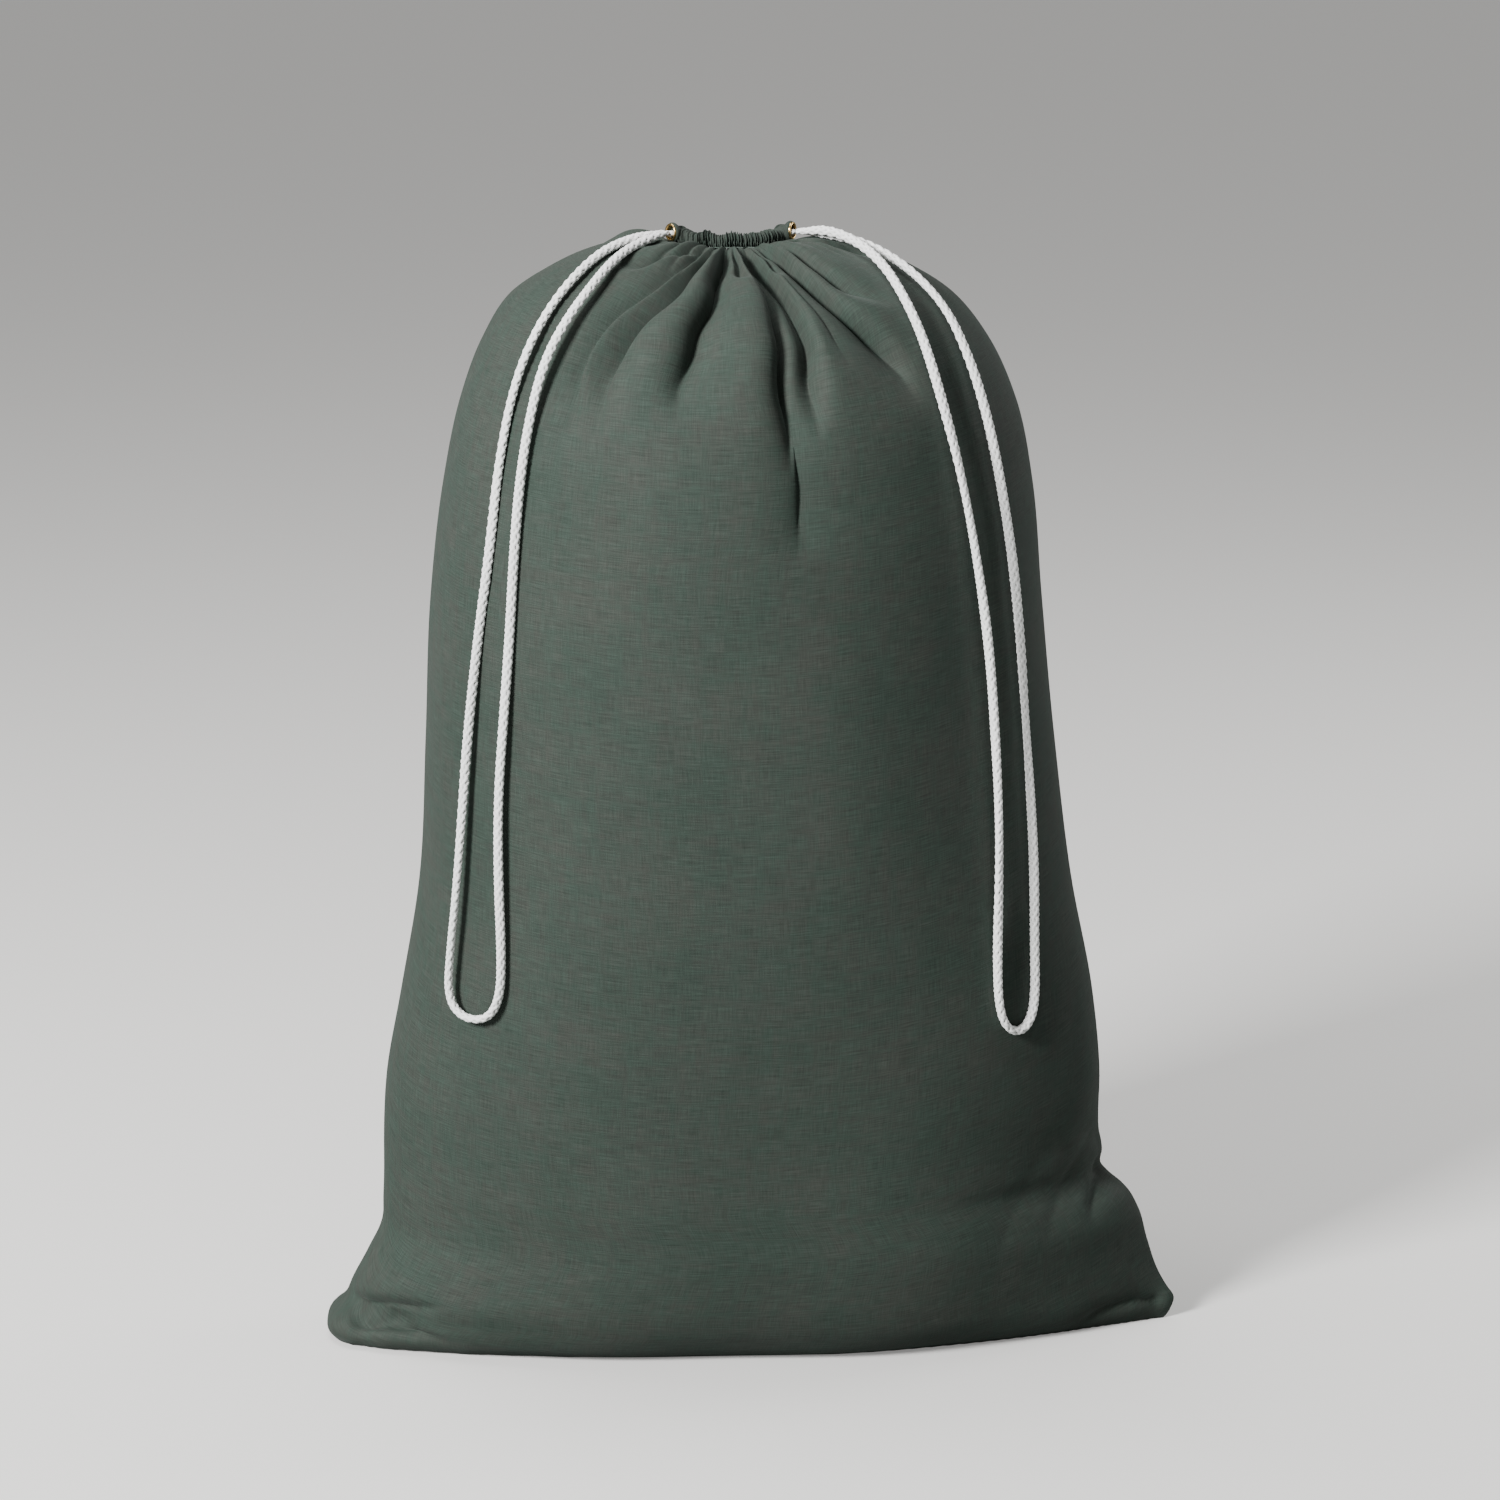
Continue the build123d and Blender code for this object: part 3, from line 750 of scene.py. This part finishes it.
def make_tab(side):
    """The round of casing cloth that an eyelet is set in, running back into the gathers."""
    face, angle = EYELETS[side]
    out = np.array([math.cos(angle), math.sin(angle), 0])
    across = np.array([-out[1], out[0], 0])
    profile = [
        (0.00495, -0.0014),
        (0.00495, -0.0001),
        (0.0060, 0.0002),
        (0.0063, -0.0001),
        (0.0066, -0.0008),
        (0.0066, -0.0020),
        (0.0060, -0.0036),
        (0.0050, -0.0052),
        (0.0040, -0.0068),
    ]
    rng = np.random.default_rng(31 if side == "left" else 32)
    a = np.linspace(0, 2 * math.pi, 96, endpoint=False)
    fine = np.interp(np.linspace(0, len(profile) - 1, 49), np.arange(len(profile)), [p[0] for p in profile])
    deep = np.interp(np.linspace(0, len(profile) - 1, 49), np.arange(len(profile)), [p[1] for p in profile])
    loose = smoothstep(0.001, 0.010, -deep)[:, None]
    crinkle = wavy(a * 9, 6, 0.5, 1.8, rng)[None, :]
    radius = fine[:, None] * (1 + 0.06 * loose * crinkle)
    points = (
        np.array(face)
        + out * deep[:, None, None]
        + across * (radius * np.cos(a))[..., None]
        + np.array([0, 0, 1.0]) * (radius * np.sin(a) * (1 - 0.10 * loose))[..., None]
    )
    points[..., 2] -= 0.0022 * loose
    piece = mesh_object(f"{side}_eyelet_tab", points.reshape(-1, 3), grid_faces(49, 96, wrap=True, flip=True))
    place = np.stack([*np.broadcast_arrays(a[None, :] * 0.008, deep[:, None], np.zeros((1, 1)))], axis=-1)
    put_attribute(piece, "cloth_place", place)
    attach(piece, "bag")
    return piece


tabs = [make_tab("left"), make_tab("right")]


# --- materials --------------------------------------------------------------------------------
class Nodes:
    """A short way to build a node material."""

    def __init__(self, name):
        self.material = bpy.data.materials.new(name)
        self.material.use_nodes = True
        self.tree = self.material.node_tree
        self.shader = self.tree.nodes["Principled BSDF"]

    def add(self, kind, **values):
        node = self.tree.nodes.new(kind)
        for key, value in values.items():
            setattr(node, key, value)
        return node

    def link(self, a, b):
        self.tree.links.new(a, b)

    def place(self, attribute, scale):
        """Cloth or cord coordinates, scaled along each direction."""
        source = self.add("ShaderNodeAttribute", attribute_name=attribute)
        mapping = self.add("ShaderNodeMapping")
        mapping.inputs["Scale"].default_value = scale
        self.link(source.outputs["Vector"], mapping.inputs["Vector"])
        return mapping.outputs["Vector"]

    def noise(self, vector, scale, detail=2.0, rough=0.5):
        node = self.add("ShaderNodeTexNoise")
        node.inputs["Scale"].default_value = scale
        node.inputs["Detail"].default_value = detail
        node.inputs["Roughness"].default_value = rough
        self.link(vector, node.inputs["Vector"])
        return node.outputs["Fac"]

    def math(self, kind, a, b):
        node = self.add("ShaderNodeMath", operation=kind)
        for socket, value in zip(node.inputs, (a, b)):
            if isinstance(value, (int, float)):
                socket.default_value = value
            else:
                self.link(value, socket)
        return node.outputs["Value"]

    def ramp(self, value, stops):
        node = self.add("ShaderNodeValToRGB")
        while len(node.color_ramp.elements) < len(stops):
            node.color_ramp.elements.new(0.5)
        for element, (at, colour) in zip(node.color_ramp.elements, stops):
            element.position = at
            element.color = (*colour, 1.0)
        self.link(value, node.inputs["Fac"])
        return node.outputs["Color"]

    def bump(self, height, strength, distance, after=None):
        node = self.add("ShaderNodeBump")
        node.inputs["Strength"].default_value = strength
        node.inputs["Distance"].default_value = distance
        self.link(height, node.inputs["Height"])
        if after is not None:
            self.link(after, node.inputs["Normal"])
        return node.outputs["Normal"]


def cloth_material(name, painted_shade_scale=1.0):
    """Plain-weave polyester-cotton: slubs both ways, a slight mottle, and a soft sheen."""
    n = Nodes(name)
    weft = n.noise(n.place("cloth_place", (55, 1500, 1)), 1.0, 3.0, 0.6)
    warp = n.noise(n.place("cloth_place", (1500, 70, 1)), 1.0, 3.0, 0.6)
    mottle = n.noise(n.place("cloth_place", (16, 16, 1)), 1.0, 3.0, 0.55)
    threads = n.math("ADD", n.math("MULTIPLY", weft, 0.6), n.math("MULTIPLY", warp, 0.4))
    tone = n.math("ADD", n.math("MULTIPLY", threads, 0.85), n.math("MULTIPLY", mottle, 0.15))
    green = [(0.019, 0.030, 0.023), (0.031, 0.047, 0.037), (0.047, 0.069, 0.056)]
    brown = [(0.023, 0.027, 0.022), (0.036, 0.042, 0.035), (0.054, 0.062, 0.052)]
    # The scale below darkens every colour of a copy of this cloth, as painted shade.
    hues = [n.ramp(tone, [(at, tuple(c * painted_shade_scale for c in colour)) for at, colour in zip((0.36, 0.50, 0.66), three)])
            for three in (green, brown)]
    across = n.noise(n.place("cloth_place", (24, 150, 1)), 1.0, 3.0, 0.6)
    down = n.noise(n.place("cloth_place", (150, 20, 1)), 1.0, 3.0, 0.6)
    streak = n.math("ADD", n.math("MULTIPLY", n.math("ADD", across, down), 0.32), n.math("MULTIPLY", mottle, 0.36))
    share = n.ramp(streak, [(0.42, (0, 0, 0)), (0.60, (1, 1, 1))])
    mix = n.add("ShaderNodeMix", data_type="RGBA")
    n.link(share, mix.inputs[0])
    n.link(hues[0], mix.inputs[6])
    n.link(hues[1], mix.inputs[7])
    n.link(mix.outputs[2], n.shader.inputs["Base Color"])
    n.shader.inputs["Roughness"].default_value = 0.78
    n.shader.inputs["Specular IOR Level"].default_value = 0.25
    n.shader.inputs["Sheen Weight"].default_value = 0.07
    n.shader.inputs["Sheen Roughness"].default_value = 0.45
    n.shader.inputs["Sheen Tint"].default_value = (0.80, 0.90, 0.84, 1.0)
    weave_u = n.add("ShaderNodeTexWave", wave_type="BANDS", bands_direction="X")
    weave_v = n.add("ShaderNodeTexWave", wave_type="BANDS", bands_direction="Y")
    for wave in (weave_u, weave_v):
        wave.inputs["Scale"].default_value = 1.0
        wave.inputs["Distortion"].default_value = 0.6
        n.link(n.place("cloth_place", (620, 620, 1)), wave.inputs["Vector"])
    weave = n.math("MULTIPLY", weave_u.outputs["Fac"], weave_v.outputs["Fac"])
    coarse = n.bump(threads, 0.35, 0.0006)
    n.link(n.bump(weave, 0.25, 0.00025, coarse), n.shader.inputs["Normal"])
    return n.material


def cord_material():
    """Soft white yarn: fine fibres along the strands, and painted shade that darkens the yarn's colour in the
    grooves between them.
    """
    n = Nodes("cord_braid")
    fibre = n.noise(n.place("cord_place", (1.1, 9.0, 1)), 1.0, 3.0, 0.6)
    blotch = n.noise(n.place("cord_place", (0.02, 0.3, 1)), 1.0, 2.0, 0.5)
    tone = n.math("ADD", n.math("MULTIPLY", fibre, 0.6), n.math("MULTIPLY", blotch, 0.4))
    colour = n.ramp(tone, [(0.30, (0.86, 0.86, 0.85)), (0.50, (0.94, 0.94, 0.93)), (0.7, (0.97, 0.97, 0.96))])
    height = n.add("ShaderNodeSeparateXYZ")
    n.link(n.place("cord_place", (1, 1, 1)), height.inputs["Vector"])
    # painted shade: the yarn's colour is darkened where the braid's skin lies low, in the grooves between the
    # strands
    painted_groove_shade = n.ramp(height.outputs["Z"], [(0.66, (0.52, 0.52, 0.51)), (0.78, (0.92, 0.92, 0.91)), (0.90, (1, 1, 1))])
    shaded = n.add("ShaderNodeMix", data_type="RGBA", blend_type="MULTIPLY")
    shaded.inputs[0].default_value = 1.0
    n.link(colour, shaded.inputs[6])
    n.link(painted_groove_shade, shaded.inputs[7])
    n.link(shaded.outputs[2], n.shader.inputs["Base Color"])
    n.shader.inputs["Roughness"].default_value = 0.85
    n.shader.inputs["Sheen Weight"].default_value = 0.3
    n.shader.inputs["Sheen Roughness"].default_value = 0.5
    n.link(n.bump(fibre, 0.5, 0.0003), n.shader.inputs["Normal"])
    return n.material


def brass_material():
    n = Nodes("polished_brass")
    where = n.add("ShaderNodeTexCoord")
    wear = n.noise(where.outputs["Object"], 900.0, 3.0, 0.6)
    n.link(n.ramp(wear, [(0.3, (0.62, 0.40, 0.14)), (0.7, (0.86, 0.62, 0.28))]), n.shader.inputs["Base Color"])
    n.shader.inputs["Metallic"].default_value = 1.0
    rough = n.add("ShaderNodeMapRange")
    rough.inputs["To Min"].default_value = 0.16
    rough.inputs["To Max"].default_value = 0.34
    n.link(wear, rough.inputs["Value"])
    n.link(rough.outputs["Result"], n.shader.inputs["Roughness"])
    return n.material


def thread_material():
    n = Nodes("sewing_thread")
    where = n.add("ShaderNodeTexCoord")
    ply = n.noise(where.outputs["Object"], 2500.0, 2.0, 0.5)
    n.link(n.ramp(ply, [(0.3, (0.03, 0.048, 0.038)), (0.7, (0.08, 0.11, 0.09))]), n.shader.inputs["Base Color"])
    n.shader.inputs["Roughness"].default_value = 0.6
    return n.material


def wear_material(piece, material):
    piece.data.materials.clear()
    piece.data.materials.append(material)


cloth = cloth_material("green_cloth")
# The casing and the eyelet tabs wear a copy of the cloth made darker by 0.92: painted shade on the gathered cloth.
casing_cloth = cloth_material("green_casing_painted_shade", 0.92)
cord_white = cord_material()
brass = brass_material()
thread = thread_material()
for piece in (front_panel, back_panel):
    wear_material(piece, cloth)
for piece in (front_casing, back_casing, *tabs):
    wear_material(piece, casing_cloth)
for piece in (left_loop, right_loop, front_run, back_run):
    wear_material(piece, cord_white)
for name in ("left_eyelet", "right_eyelet", "left_washer", "right_washer"):
    wear_material(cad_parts[name], brass)
for name in ("front_hem_stitching", "back_hem_stitching"):
    wear_material(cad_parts[name], thread)
for piece in (left_seam, right_seam, bottom_seam):
    wear_material(piece, cloth)

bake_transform(left_loop)
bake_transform(right_loop)


# --- stage ------------------------------------------------------------------------------------
def make_floor():
    """A pale floor that throws only a little light back up onto the sack."""
    size = 60.0
    corners = [(-size, -size, 0), (size, -size, 0), (size, size, 0), (-size, size, 0)]
    floor = mesh_object("floor", corners, [(0, 1, 2, 3)])
    n = Nodes("pale_floor")
    n.shader.inputs["Base Color"].default_value = (0.80, 0.79, 0.77, 1)
    n.shader.inputs["Roughness"].default_value = 0.7
    n.shader.inputs["Emission Color"].default_value = (1.0, 0.99, 0.97, 1)
    n.shader.inputs["Emission Strength"].default_value = 0.22
    bounce = n.add("ShaderNodeBsdfDiffuse")
    bounce.inputs["Color"].default_value = (0.26, 0.27, 0.26, 1)
    path = n.add("ShaderNodeLightPath")
    either = n.add("ShaderNodeMixShader")
    n.link(path.outputs["Is Camera Ray"], either.inputs[0])
    n.link(bounce.outputs[0], either.inputs[1])
    n.link(n.shader.outputs[0], either.inputs[2])
    n.link(either.outputs[0], n.tree.nodes["Material Output"].inputs["Surface"])
    wear_material(floor, n.material)


def area_light(name, place, size, power, colour=(1, 1, 1)):
    data = bpy.data.lights.new(name, "AREA")
    data.shape = "RECTANGLE"
    data.size, data.size_y = size
    data.energy = power
    data.color = colour
    light = bpy.data.objects.new(name, data)
    bpy.context.collection.objects.link(light)
    light.location = place
    aim = Vector((0, 0, 0.45)) - Vector(place)
    light.rotation_euler = aim.to_track_quat("-Z", "Y").to_euler()


def make_light():
    world = bpy.data.worlds.new("world")
    bpy.context.scene.world = world
    world.use_nodes = True
    tree = world.node_tree
    soft = tree.nodes["Background"]
    soft.inputs["Color"].default_value = (1.0, 1.0, 0.99, 1)
    soft.inputs["Strength"].default_value = 0.20
    seen = tree.nodes.new("ShaderNodeBackground")
    seen.inputs["Color"].default_value = (0.86, 0.86, 0.85, 1)
    path = tree.nodes.new("ShaderNodeLightPath")
    either = tree.nodes.new("ShaderNodeMixShader")
    tree.links.new(path.outputs["Is Camera Ray"], either.inputs[0])
    tree.links.new(soft.outputs[0], either.inputs[1])
    tree.links.new(seen.outputs[0], either.inputs[2])
    tree.links.new(either.outputs[0], tree.nodes["World Output"].inputs["Surface"])
    area_light("key", (-2.6, -2.7, 2.3), (1.0, 1.0), 390)
    area_light("top", (-0.6, 0.4, 3.2), (1.6, 1.6), 45)
    area_light("edge", (2.8, 1.2, 1.4), (1.2, 1.2), 34)


make_floor()
make_light()
